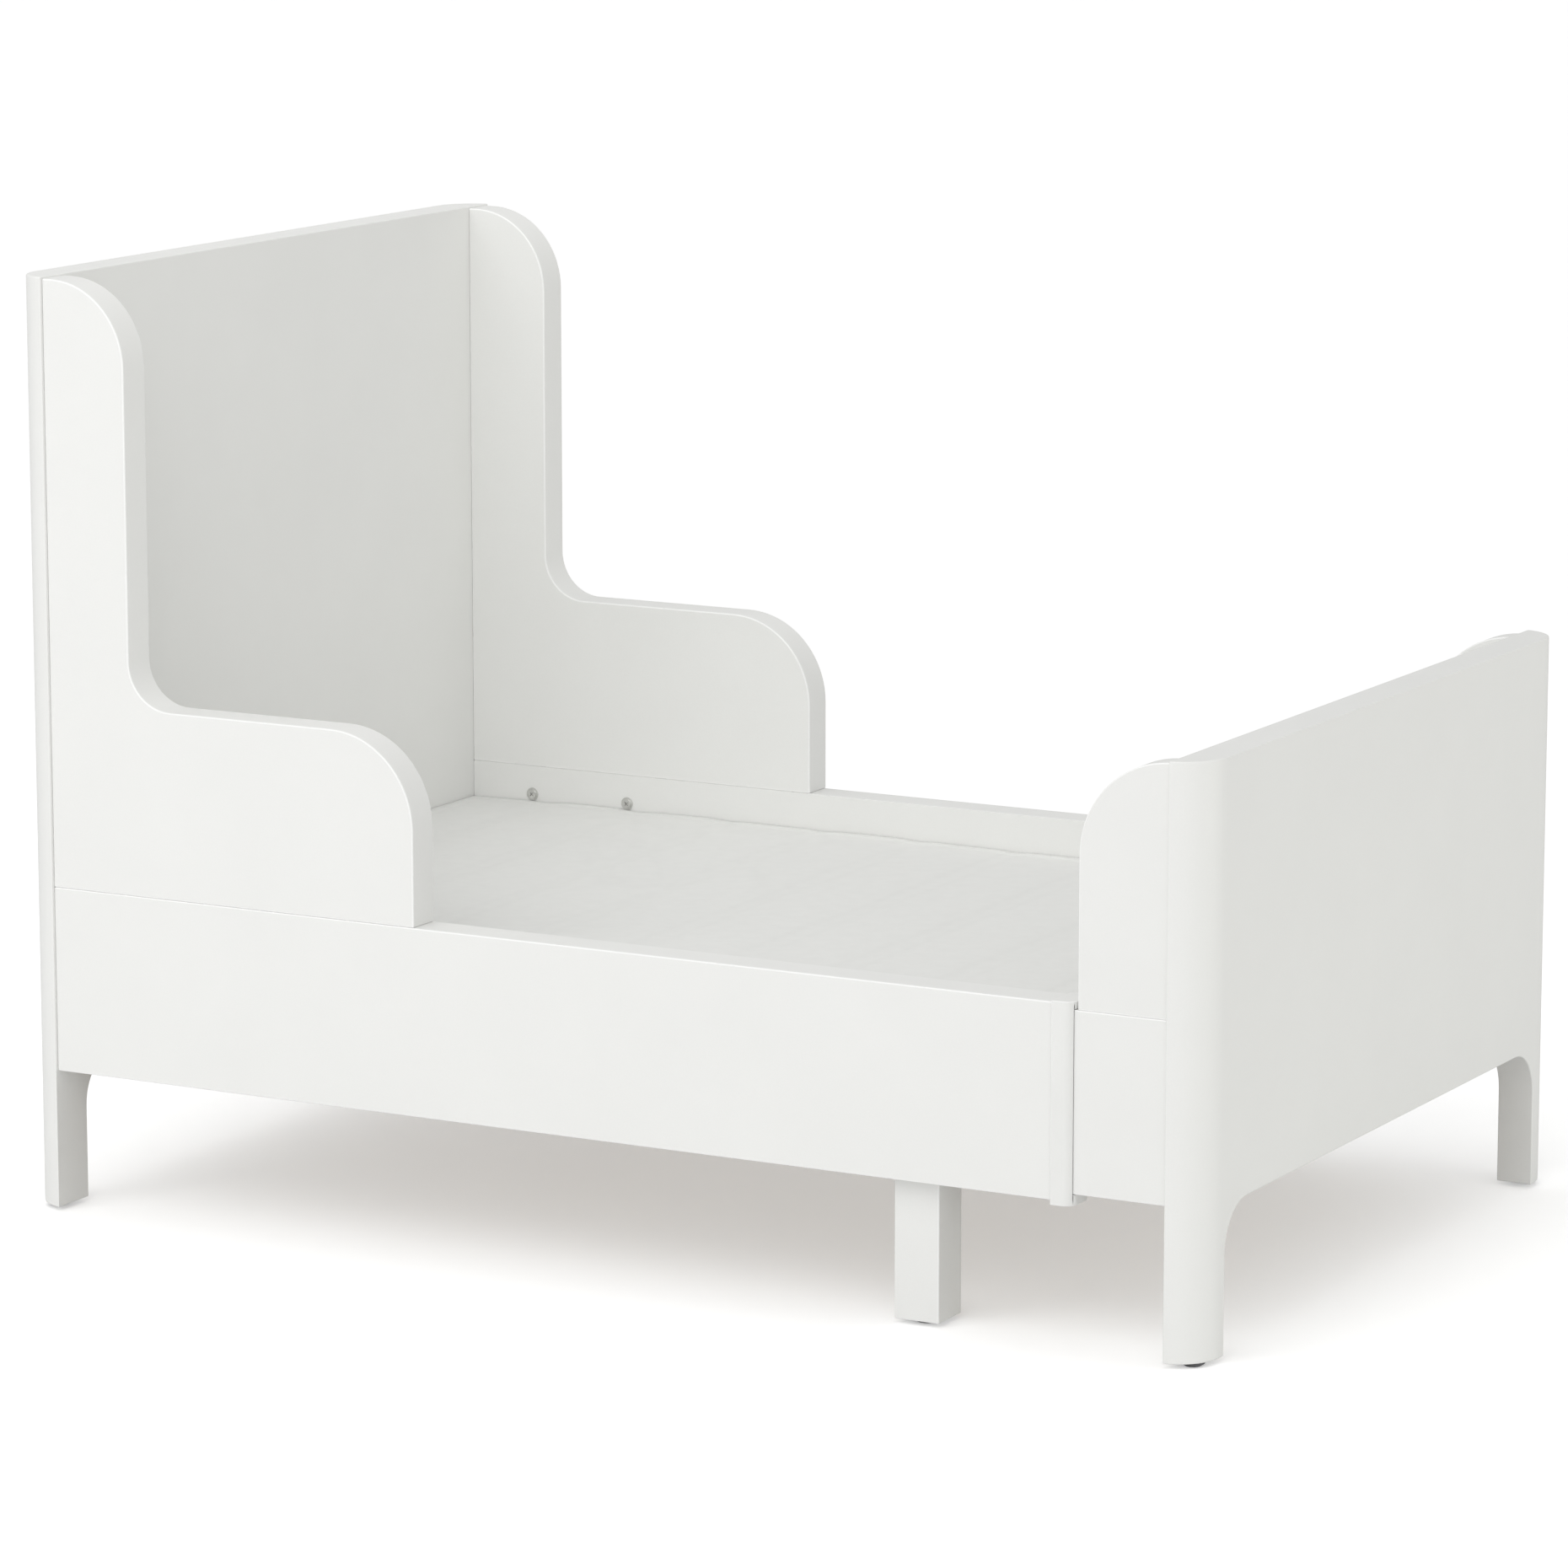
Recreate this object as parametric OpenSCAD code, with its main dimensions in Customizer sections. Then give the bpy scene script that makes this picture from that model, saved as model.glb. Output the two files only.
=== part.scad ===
// Extendable toddler bed. The head section carries hollow side rails, and the foot section's
// own rails slide inside them, so that the bed grows with the child.
// Millimetres, +Z up, +X towards the foot, near side at -Y and far side at +Y.
// The origin is on the floor under the centre of the closed bed.

/* [Overall] */
// Outer length with the foot section pushed in
closed_l = 1380; // [1150:10:1660]
// Width over the end boards
bed_w = 900; // [740:10:1090]
// Height of the headboard above the floor
head_h = 1000; // [830:10:1200]
// Height of the footboard above the floor
foot_h = 602; // [500:1:730]
// Distance that the foot section pulls out
travel = 700; // [400:10:840]

/* [End boards] */
// Thickness of the headboard and the footboard
board_t = 40; // [33:1:48]
// Radius of the rounded outer upright edges
board_edge_r = 47; // [40:1:60]
// Width of each leg beside the cut-out
leg_w = 56; // [46:1:68]
// Top of the cut-out above the floor
gap_z = 156; // [110:1:190]
// Radius of the cut-out's upper corners
gap_r = 50; // [20:1:60]

/* [Head rails] */
// Thickness of a head rail
rail_t = 40; // [36:1:48]
// Height of a head rail
rail_h = 199; // [166:1:239]
// Underside of the head rails above the floor
rail_z = 154; // [130:1:185]
// Step from the side of an end board to the face of a rail
rail_inset = 3; // [0:0.5:8]
// Side walls of the hollow rail
skin_t = 4; // [3:0.5:5]
// Top and bottom walls of the hollow rail
strip_t = 6.5; // [5:0.5:9]
// Solid block in the head end of each rail
block_l = 249.5; // [200:0.5:300]

/* [Rail end caps] */
// Length of the moulded sleeve
cap_l = 24; // [20:1:30]
// End wall of the sleeve, past the end of the rail
cap_end_t = 9; // [8:0.5:11]
// How far the sleeve stands proud of the rail's sides and top
cap_proud = 1.5; // [1:0.1:2.5]
// How far the sleeve hangs below the rail
cap_drop = 4.5; // [3:0.5:6]
// Radius of the sleeve's end corners
cap_r = 12; // [6:1:14]

/* [Head wings] */
// Width of the upright part
wing_w = 99.5; // [85:0.5:120]
// Radius of its top front corner
wing_r = 90; // [60:1:95]
// Step down from the top of the headboard
wing_drop = 2; // [0:0.5:10]
// Radius where the upright meets the arm
wing_fillet_r = 50; // [30:1:60]
// Height of the arm above the rail
arm_h = 199; // [166:1:230]
// Length of the arm
arm_l = 446; // [370:1:535]
// Radius of the arm's front corner
arm_r = 99; // [60:1:110]

/* [Foot section] */
// Width and corner radius of the quarter-round foot wings
foot_wing_w = 98.5; // [82:0.5:118]
// Gap between the foot wing and the rail end cap when closed
wing_gap = 1.5; // [1:0.5:4]
// Step down from the top of the footboard to its wings
foot_wing_drop = 3; // [0:0.5:10]

/* [Bed base] */
// Top of the bed base below the top of the rails
base_drop = 41.5; // [35:0.5:60]
// Thickness of the woven base covers
cover_t = 2; // [1.5:0.5:3]
// Thickness of a slat
slat_t = 8; // [6:0.5:10]
// Width of a slat
slat_w = 70; // [58:1:84]
// Section of the ledges that carry the head slats
ledge = 22; // [18:1:26]
// Height of the foot section's runners
runner_h = 38; // [32:1:45]
// Thickness of the foot section's runners
runner_t = 25; // [20:1:30]

/* [Middle legs] */
// Side of the square legs under the rail ends
mid_leg = 50; // [42:1:60]
// Distance from the rail's end to the leg
mid_leg_x = 159; // [130:1:190]
// Distance from the rail's outer face to the leg
mid_leg_y = 24; // [18:1:30]
// Height of the cross beam between the legs
beam_h = 44; // [36:1:52]
// Width of the cross beam
beam_w = 40; // [33:1:42]

/* [Glides] */
// Height of the glides under the legs
glide_h = 5; // [3:0.5:8]
// Diameter of the glides under the end boards
glide_d = 24; // [18:1:30]
// Diameter of the glides under the middle legs
mid_glide_d = 30; // [22:1:36]

/* [Fixings] */
// Diameter of the wooden dowels
dowel_d = 8; // [6:1:10]
// Length of the wooden dowels
dowel_l = 40; // [32:1:48]
// Flange diameter of the rail screws
rail_screw_d = 15; // [12:0.5:16]
// Thickness of the corner brackets
bracket_t = 2; // [1.5:0.5:3]
// Length of each leg of a corner bracket
bracket_l = 40; // [33:1:48]

/* [Hidden] */
head_slats = 10;
foot_slats = 9;
sides = [-1, 1];
$fn = 64;

// Clearances
slide_gap_y = 1;          // foot rail to the side walls of the head rail
slide_gap_z = 0.5;        // foot rail to its top and bottom walls
cap_gap = 0.6;            // foot rail to the mouth of the cap
sleeve_gap = 0.2;         // cap to the rail inside it
stop_gap = 0.5;           // moving stops, at either end of the travel
beam_gap = 1;             // runner above the cross beam
ledge_gap = 5;            // runner beside the ledge
slat_gap = 3;             // end of a slat to the rail
cover_gap = 1;            // edge of a cover to what is beside it
set_gap = 3.3;            // foot cover below the head slats
fit_gap = 0.1;            // dowel, screw or stem in its hole

// Places along the bed
head_x = -closed_l / 2 + board_t;       // inner face of the headboard
foot_x = closed_l / 2 - board_t;        // inner face of the footboard
inner_l = foot_x - head_x;
rail_l = inner_l - foot_wing_w - wing_gap;     // headboard to the end of the cap
rail_x = head_x + rail_l;
tail_x = head_x + block_l + stop_gap;          // head end of the foot rails
beam_x = rail_x - mid_leg_x - mid_leg / 2;     // centre of the middle legs and beam

// Places across the bed, as distances from the centre line
rail_y = bed_w / 2 - rail_inset;               // outer face of a rail
rail_in_y = rail_y - rail_t;                   // inner face of a rail
rail_mid_y = rail_y - rail_t / 2;
foot_rail_t = rail_t - 2 * skin_t - 2 * slide_gap_y;
foot_rail_in_y = rail_mid_y - foot_rail_t / 2;
foot_rail_out_y = rail_mid_y + foot_rail_t / 2;
ledge_y = rail_in_y - ledge;
runner_y = ledge_y - ledge_gap - runner_t;     // inner face of a runner
mid_leg_out_y = rail_y - mid_leg_y;
mid_leg_in_y = mid_leg_out_y - mid_leg;

// Heights
rail_top = rail_z + rail_h;
foot_rail_z = rail_z + strip_t + slide_gap_z;
foot_rail_h = rail_h - 2 * strip_t - 2 * slide_gap_z;
foot_rail_top = foot_rail_z + foot_rail_h;
foot_wing_h = foot_h - foot_wing_drop - foot_rail_top;
base_z = rail_top - base_drop;                 // top of the head cover
slat_z = base_z - cover_t - slat_t;            // underside of the head slats
foot_slat_z = slat_z - set_gap - cover_t - slat_t;
runner_z = foot_slat_z - runner_h;
beam_z = runner_z - beam_gap - beam_h;

// Stop bar between the runners: it meets the cross beam at full travel
stop_bar_t = 25;
stop_bar_drop = 35;                // below the runners
stop_bar_x = beam_x - beam_w / 2 - stop_gap - travel - stop_bar_t;
runner_tail = 20;                  // runner behind the stop bar
runner_x = stop_bar_x - runner_tail;
end_ledge = 22;                    // square batten along the footboard

// Fixings
rail_screw_x = [80, 207];          // from the headboard
rail_screw_z = base_z + 8.3;
rail_screw_l = 28;
rail_shank_d = 6;
rail_flange_t = 1;
rail_head_d = 11;
rail_head_h = 2.6;
wing_dowel_x = [50, 215];          // from the headboard
rail_dowel_z = [rail_z + 46, rail_z + 146];
wing_dowel_z = [head_h - 400, head_h - 150];
foot_dowel_x = [70, 35];           // from the footboard
foot_dowel_z = [foot_h - 172, foot_h - 62];
board_bite = 15;                   // depth of a dowel in an end board
bracket_h = 50;
bracket_z = rail_z + 8;
bracket_hole_z = [12, 38];         // above the bracket's lower edge
bracket_screw_at = bracket_l - 14; // from the corner of the bracket
screw_d = 3.8;
screw_head_d = 8;
screw_head_h = 2.4;
screw_l = 13;
recess_w = 1;                      // arm of the cross recess
ledge_screw_count = 5;
screw_short = 0.4;                 // point of a screw to the far side of the rail's wall
leg_screw_z = (rail_z + beam_z) / 2;
leg_screw_dx = 12;
beam_dowel_dx = 10;
pad_t = 0.6;
pad_l = 40;
pad_inset = 10;                    // pads from the head end of a foot rail
pad_margin = 15;                   // pads from its upper and lower edges
stem_d = 5;
stem_l = 12;
glide_foot_w = 4;                  // bevel under a glide
glide_foot_h = 2.5;
slat_edge_r = 3;
head_slat_margin = 6;              // first and last slat to the ends of the ledge
foot_slat_margin = 4;              // and to the ends of the runners

WHITE = "white";
BOARD = "whitesmoke";
WOOD = "burlywood";
STEEL = "silver";
GLIDE = "dimgray";

// Pieces are drawn on the far side, and the near side is their mirror image.
module on_side(side) {
  if (side < 0)
    mirror([0, 1, 0]) children();
  else
    children();
}

module on_both_sides() {
  for (side = sides)
    on_side(side) children();
}

module box(lo, hi) {
  translate(lo) cube(hi - lo);
}

// Round bar from a point along X, Y or Z
module bar_x(at, d, l) {
  translate(at) rotate([0, 90, 0]) cylinder(d = d, h = l);
}

module bar_y(at, d, l) {
  translate(at) rotate([-90, 0, 0]) cylinder(d = d, h = l);
}

module bar_z(at, d, l) {
  translate(at) cylinder(d = d, h = l);
}

// Side outline in the X-Z plane, extruded from y0 to y1
module upright(y0, y1) {
  translate([0, y1, 0]) rotate([90, 0, 0]) linear_extrude(y1 - y0) children();
}

// What is cut from a square corner to leave radius r, with its centre at the origin
module corner_cut(r) {
  difference() {
    square(r + 1);
    circle(r);
  }
}

/* End boards */

// Plan of an end board: inner face at x = 0, outer face at x = board_t
module board_plan() {
  arc_y = bed_w / 2 - sqrt(2 * board_edge_r * board_t - board_t * board_t);
  intersection() {
    translate([0, -bed_w / 2]) square([board_t, bed_w]);
    union() {
      translate([0, -arc_y]) square([board_t, 2 * arc_y]);
      for (side = sides)
        translate([board_t - board_edge_r, side * arc_y]) circle(board_edge_r);
    }
  }
}

// Cut-out between the legs, in the Y-Z plane
module leg_gap() {
  half = bed_w / 2 - leg_w;
  difference() {
    translate([-half, 0]) square([2 * half, gap_z]);
    for (side = sides)
      mirror([side < 0 ? 1 : 0, 0])
        translate([half - gap_r, gap_z - gap_r]) corner_cut(gap_r);
  }
}

// face_y is where the rail's inner face meets the board
module end_board(height, dowel_z, face_y) {
  difference() {
    translate([0, 0, glide_h]) linear_extrude(height - glide_h) board_plan();
    translate([-1, 0, 0]) rotate([90, 0, 90]) linear_extrude(board_t + 2) leg_gap();
    on_both_sides() {
      for (z = dowel_z)
        bar_x([-1, rail_mid_y, z], dowel_d + 2 * fit_gap, board_bite + 1);
      for (z = bracket_hole_z)
        bar_x([-1, face_y - bracket_screw_at, bracket_z + z], screw_d + 2 * fit_gap, screw_l + 1);
      bar_z([board_t / 2, bed_w / 2 - leg_w / 2, 0], stem_d + 2 * fit_gap, glide_h + stem_l + 1);
    }
  }
}

module headboard() {
  color(BOARD)
    translate([head_x, 0, 0]) mirror([1, 0, 0])
      end_board(head_h, concat(rail_dowel_z, wing_dowel_z), rail_in_y);
}

module footboard() {
  color(BOARD)
    translate([foot_x, 0, 0])
      end_board(foot_h, concat(rail_dowel_z, foot_dowel_z), foot_rail_in_y);
}

/* Head rails and what is fixed to them */

module rail_holes() {
  for (x = wing_dowel_x)
    bar_z([head_x + x, rail_mid_y, rail_top - dowel_l / 2 - 1], dowel_d + 2 * fit_gap, dowel_l);
  for (x = rail_screw_x)
    bar_y([head_x + x, rail_in_y - 1, rail_screw_z], rail_shank_d + 2 * fit_gap,
          rail_screw_l + 2);
  for (z = bracket_hole_z)
    bar_y([head_x + bracket_screw_at, rail_in_y - 1, bracket_z + z], screw_d + 2 * fit_gap,
          screw_l + 1);
  for (z = rail_dowel_z)
    bar_x([head_x - 1, rail_mid_y, z], dowel_d + 2 * fit_gap, dowel_l - board_bite + 2);
}

module rail(side) {
  color(BOARD) on_side(side)
    difference() {
      box([head_x, rail_in_y, rail_z], [rail_x - cap_end_t, rail_y, rail_top]);
      box([head_x - 1, rail_in_y + skin_t, rail_z + strip_t],
          [rail_x + 1, rail_y - skin_t, rail_top - strip_t]);
      rail_holes();
      for (x = leg_screw_xs())
        bar_y([x, rail_in_y - 1, leg_screw_z], screw_d + 2 * fit_gap, skin_t + 2);
      for (x = ledge_screw_xs())
        bar_y([x, rail_in_y - 1, slat_z - ledge / 2], screw_d + 2 * fit_gap, skin_t + 2);
    }
}

module rail_block(side) {
  color(WOOD) on_side(side)
    difference() {
      box([head_x, rail_in_y + skin_t, rail_z + strip_t],
          [head_x + block_l, rail_y - skin_t, rail_top - strip_t]);
      rail_holes();
    }
}

// Side outline of a head wing, from the headboard's face and the top of the rail
module wing_outline() {
  h = head_h - wing_drop - rail_top;
  difference() {
    union() {
      square([wing_w, h]);
      square([arm_l, arm_h]);
      translate([0, arm_h - 1]) square([wing_w + wing_fillet_r, wing_fillet_r + 1]);
    }
    translate([wing_w - wing_r, h - wing_r]) corner_cut(wing_r);
    translate([wing_w + wing_fillet_r, arm_h + wing_fillet_r]) circle(wing_fillet_r);
    translate([arm_l - arm_r, arm_h - arm_r]) corner_cut(arm_r);
  }
}

module wing(side) {
  color(BOARD) on_side(side)
    difference() {
      translate([head_x, 0, rail_top]) upright(rail_in_y, rail_y) wing_outline();
      for (x = wing_dowel_x)
        bar_z([head_x + x, rail_mid_y, rail_top - 1], dowel_d + 2 * fit_gap, dowel_l / 2 + 2);
      for (z = wing_dowel_z)
        bar_x([head_x - 1, rail_mid_y, z], dowel_d + 2 * fit_gap, dowel_l - board_bite + 2);
    }
}

// Moulded sleeve on the open end of a rail, with a mouth for the foot rail
module end_cap(side) {
  cap_t = rail_t + 2 * cap_proud;
  mouth_t = foot_rail_t + 2 * cap_gap;
  color(WHITE) on_side(side)
    difference() {
      translate([rail_x - cap_l, rail_mid_y - cap_t / 2, rail_z - cap_drop])
        linear_extrude(rail_h + cap_drop + cap_proud)
          difference() {
            square([cap_l, cap_t]);
            translate([cap_l - cap_r, cap_t - cap_r]) corner_cut(cap_r);
            translate([cap_l - cap_r, cap_r]) mirror([0, 1]) corner_cut(cap_r);
          }
      box([rail_x - cap_l - 1, rail_in_y - sleeve_gap, rail_z - sleeve_gap],
          [rail_x - cap_end_t + sleeve_gap, rail_y + sleeve_gap, rail_top + sleeve_gap]);
      box([rail_x - cap_l, rail_mid_y - mouth_t / 2, foot_rail_z - cap_gap],
          [rail_x + 1, rail_mid_y + mouth_t / 2, foot_rail_top + cap_gap]);
    }
}

function leg_screw_xs() = [for (k = sides) beam_x + k * leg_screw_dx];
function beam_dowel_xs() = [for (k = sides) beam_x + k * beam_dowel_dx];

// The rail rests on the leg's shoulder, and the leg's cheek is screwed to the rail's inner face.
module middle_leg(side) {
  x0 = beam_x - mid_leg / 2;
  x1 = beam_x + mid_leg / 2;
  color(WHITE) on_side(side)
    difference() {
      union() {
        box([x0, mid_leg_in_y, glide_h], [x1, mid_leg_out_y, rail_z]);
        box([x0, mid_leg_in_y, rail_z - 1], [x1, rail_in_y, beam_z + beam_h]);
      }
      for (x = leg_screw_xs())
        bar_y([x, mid_leg_in_y - 1, leg_screw_z], screw_d + 2 * fit_gap,
              rail_in_y - mid_leg_in_y + 2);
      for (x = beam_dowel_xs())
        bar_y([x, mid_leg_in_y - 1, beam_z + beam_h / 2], dowel_d + 2 * fit_gap,
              dowel_l / 2 + 2);
      bar_z([beam_x, (mid_leg_in_y + mid_leg_out_y) / 2, 0], stem_d + 2 * fit_gap,
            glide_h + stem_l + 1);
    }
}

module cross_beam() {
  color(WOOD)
    difference() {
      box([beam_x - beam_w / 2, -mid_leg_in_y, beam_z],
          [beam_x + beam_w / 2, mid_leg_in_y, beam_z + beam_h]);
      on_both_sides()
        for (x = beam_dowel_xs())
          bar_y([x, mid_leg_in_y - dowel_l / 2 - 1, beam_z + beam_h / 2],
                dowel_d + 2 * fit_gap, dowel_l);
    }
}

function ledge_l() = rail_l - cap_l;
function ledge_screw_xs() =
  [for (i = [0:ledge_screw_count - 1]) head_x + ledge_l() * (i + 0.5) / ledge_screw_count];

module head_ledge(side) {
  color(WOOD) on_side(side)
    difference() {
      box([head_x, ledge_y, slat_z - ledge], [head_x + ledge_l(), rail_in_y, slat_z]);
      for (x = ledge_screw_xs())
        bar_y([x, ledge_y - 1, slat_z - ledge / 2], screw_d + 2 * fit_gap, ledge + 2);
    }
}

/* Bed base */

// A slat with eased long edges, its underside at z = 0
module slat(half) {
  r = slat_edge_r;
  upright(-half, half)
    union() {
      for (x = [r, slat_w - r])
        for (z = [r, slat_t - r])
          translate([x, z]) circle(r);
      translate([r, 0]) square([slat_w - 2 * r, slat_t]);
      translate([0, r]) square([slat_w, slat_t - 2 * r]);
    }
}

module head_slat(i) {
  first = head_x + head_slat_margin;
  pitch = (ledge_l() - 2 * head_slat_margin - slat_w) / (head_slats - 1);
  color(WOOD) translate([first + (i - 1) * pitch, 0, slat_z]) slat(rail_in_y - slat_gap);
}

module foot_slat(i) {
  first = runner_x + foot_slat_margin;
  pitch = (foot_x - runner_x - 2 * foot_slat_margin - slat_w) / (foot_slats - 1);
  color(WOOD) translate([first + (i - 1) * pitch, 0, foot_slat_z]) slat(runner_y + runner_t);
}

module head_base_cover() {
  y = rail_in_y - cover_gap;
  color(WHITE)
    box([head_x + cover_gap, -y, base_z - cover_t], [head_x + ledge_l() - cover_gap, y, base_z]);
}

module foot_base_cover() {
  y = runner_y + runner_t;
  z = foot_slat_z + slat_t;
  color(WHITE)
    box([runner_x, -y, z], [foot_x - cover_gap, y, z + cover_t]);
}

/* Foot section */

module foot_rail(side) {
  color(BOARD) on_side(side)
    difference() {
      box([tail_x, foot_rail_in_y, foot_rail_z], [foot_x, foot_rail_out_y, foot_rail_top]);
      for (x = foot_dowel_x)
        bar_z([foot_x - x, rail_mid_y, foot_rail_top - dowel_l / 2 - 1],
              dowel_d + 2 * fit_gap, dowel_l);
      for (z = rail_dowel_z)
        bar_x([foot_x - dowel_l + board_bite - 1, rail_mid_y, z], dowel_d + 2 * fit_gap, dowel_l);
      for (z = bracket_hole_z)
        bar_y([foot_x - bracket_screw_at, foot_rail_in_y - 1, bracket_z + z],
              screw_d + 2 * fit_gap, screw_l + 1);
    }
}

// Quarter-round cheek that stands on a foot rail against the footboard
module foot_wing(side) {
  color(BOARD) on_side(side)
    difference() {
      translate([foot_x - foot_wing_w, 0, foot_rail_top])
        upright(foot_rail_in_y, foot_rail_out_y)
          union() {
            square([foot_wing_w, foot_wing_h - foot_wing_w]);
            intersection() {
              translate([0, foot_wing_h - foot_wing_w - 1])
                square([foot_wing_w, foot_wing_w + 1]);
              translate([foot_wing_w, foot_wing_h - foot_wing_w]) circle(foot_wing_w);
            }
          }
      for (x = foot_dowel_x)
        bar_z([foot_x - x, rail_mid_y, foot_rail_top - 1], dowel_d + 2 * fit_gap,
              dowel_l / 2 + 2);
      for (z = foot_dowel_z)
        bar_x([foot_x - dowel_l + board_bite - 1, rail_mid_y, z], dowel_d + 2 * fit_gap, dowel_l);
    }
}

module runner(side) {
  color(WOOD) on_side(side)
    box([runner_x, runner_y, runner_z], [foot_x, runner_y + runner_t, runner_z + runner_h]);
}

module stop_bar() {
  color(WOOD)
    box([stop_bar_x, -runner_y, runner_z - stop_bar_drop],
        [stop_bar_x + stop_bar_t, runner_y, runner_z + runner_h]);
}

module end_ledge() {
  z1 = runner_z + runner_h;
  color(WOOD)
    box([foot_x - end_ledge, -runner_y, z1 - end_ledge], [foot_x, runner_y, z1]);
}

// Thin low-friction pads on both faces of each foot rail, at its head end
module slide_pads() {
  x0 = tail_x + pad_inset;
  z0 = foot_rail_z + pad_margin;
  z1 = foot_rail_top - pad_margin;
  color(WHITE) on_both_sides() {
    box([x0, foot_rail_in_y - pad_t, z0], [x0 + pad_l, foot_rail_in_y, z1]);
    box([x0, foot_rail_out_y, z0], [x0 + pad_l, foot_rail_out_y + pad_t, z1]);
  }
}

/* Fixings */

// Angle bracket in the corner between an end board (x = 0) and a rail (y = face_y)
module bracket(face_y) {
  translate([0, 0, bracket_z])
    difference() {
      union() {
        box([0, face_y - bracket_l, 0], [bracket_t, face_y, bracket_h]);
        box([0, face_y - bracket_t, 0], [bracket_l, face_y, bracket_h]);
      }
      for (z = bracket_hole_z) {
        bar_x([-1, face_y - bracket_screw_at, z], screw_d + 2 * fit_gap, bracket_t + 2);
        bar_y([bracket_screw_at, face_y - bracket_t - 1, z], screw_d + 2 * fit_gap,
              bracket_t + 2);
      }
    }
}

// Cross recess sunk along +Z from z = 0, l across and h deep
module cross_recess(l, h) {
  for (a = [0, 90])
    rotate([0, 0, a]) translate([-l / 2, -recess_w / 2, -1]) cube([l, recess_w, h + 1]);
}

// Pan-head screw driven along +Z, with the underside of its head at z = 0
module pan_screw(l) {
  difference() {
    union() {
      cylinder(d = screw_d, h = l);
      translate([0, 0, -screw_head_h]) cylinder(d = screw_head_d, h = screw_head_h);
    }
    translate([0, 0, -screw_head_h]) cross_recess(0.55 * screw_head_d, screw_head_h / 2);
  }
}

module bracket_screws(face_y) {
  for (z = bracket_hole_z) {
    translate([bracket_t, face_y - bracket_screw_at, bracket_z + z]) rotate([0, -90, 0])
      pan_screw(screw_l);
    translate([bracket_screw_at, face_y - bracket_t, bracket_z + z]) rotate([-90, 0, 0])
      pan_screw(screw_l);
  }
}

module at_foot_corner() {
  translate([foot_x, 0, 0]) mirror([1, 0, 0]) children();
}

module head_brackets() {
  color(STEEL) on_both_sides() translate([head_x, 0, 0]) bracket(rail_in_y);
}

module head_bracket_screws() {
  color(STEEL) on_both_sides() translate([head_x, 0, 0]) bracket_screws(rail_in_y);
}

module foot_brackets() {
  color(STEEL) on_both_sides() at_foot_corner() bracket(foot_rail_in_y);
}

module foot_bracket_screws() {
  color(STEEL) on_both_sides() at_foot_corner() bracket_screws(foot_rail_in_y);
}

// Flanged cross-recess screws on the inner faces of the head rails
module rail_screws() {
  color(STEEL) on_both_sides()
    for (x = rail_screw_x)
      translate([head_x + x, rail_in_y, rail_screw_z]) rotate([-90, 0, 0])
        difference() {
          union() {
            cylinder(d = rail_shank_d, h = rail_screw_l);
            translate([0, 0, -rail_flange_t]) cylinder(d = rail_screw_d, h = rail_flange_t);
            translate([0, 0, -rail_head_h]) cylinder(d = rail_head_d, h = rail_head_h);
          }
          translate([0, 0, -rail_head_h]) rotate(45) cross_recess(0.5 * rail_head_d, rail_head_h);
        }
}

module ledge_screws() {
  color(STEEL) on_both_sides()
    for (x = ledge_screw_xs())
      translate([x, ledge_y, slat_z - ledge / 2]) rotate([-90, 0, 0])
        pan_screw(ledge + skin_t - screw_short);
}

module leg_screws() {
  color(STEEL) on_both_sides()
    for (x = leg_screw_xs())
      translate([x, mid_leg_in_y, leg_screw_z]) rotate([-90, 0, 0])
        pan_screw(rail_in_y - mid_leg_in_y + skin_t - screw_short);
}

module head_dowels() {
  color(WOOD) on_both_sides() {
    for (x = wing_dowel_x)
      bar_z([head_x + x, rail_mid_y, rail_top - dowel_l / 2], dowel_d, dowel_l);
    for (z = concat(rail_dowel_z, wing_dowel_z))
      bar_x([head_x - board_bite + 1, rail_mid_y, z], dowel_d, dowel_l - 1);
    for (x = beam_dowel_xs())
      bar_y([x, mid_leg_in_y - dowel_l / 2, beam_z + beam_h / 2], dowel_d, dowel_l);
  }
}

module foot_dowels() {
  color(WOOD) on_both_sides() {
    for (x = foot_dowel_x)
      bar_z([foot_x - x, rail_mid_y, foot_rail_top - dowel_l / 2], dowel_d, dowel_l);
    for (z = concat(rail_dowel_z, foot_dowel_z))
      bar_x([foot_x - dowel_l + board_bite, rail_mid_y, z], dowel_d, dowel_l - 1);
  }
}

// Glide: a low tapered disc with a stem pressed into the leg
module glide(d) {
  rotate_extrude()
    polygon([[0, 0], [d / 2 - glide_foot_w, 0], [d / 2, glide_foot_h], [d / 2, glide_h],
             [stem_d / 2, glide_h], [stem_d / 2, glide_h + stem_l], [0, glide_h + stem_l]]);
}

module head_glides() {
  color(GLIDE) on_both_sides()
    translate([head_x - board_t / 2, bed_w / 2 - leg_w / 2, 0]) glide(glide_d);
}

module foot_glides() {
  color(GLIDE) on_both_sides()
    translate([foot_x + board_t / 2, bed_w / 2 - leg_w / 2, 0]) glide(glide_d);
}

module middle_glides() {
  color(GLIDE) on_both_sides()
    translate([beam_x, (mid_leg_in_y + mid_leg_out_y) / 2, 0]) glide(mid_glide_d);
}

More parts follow.
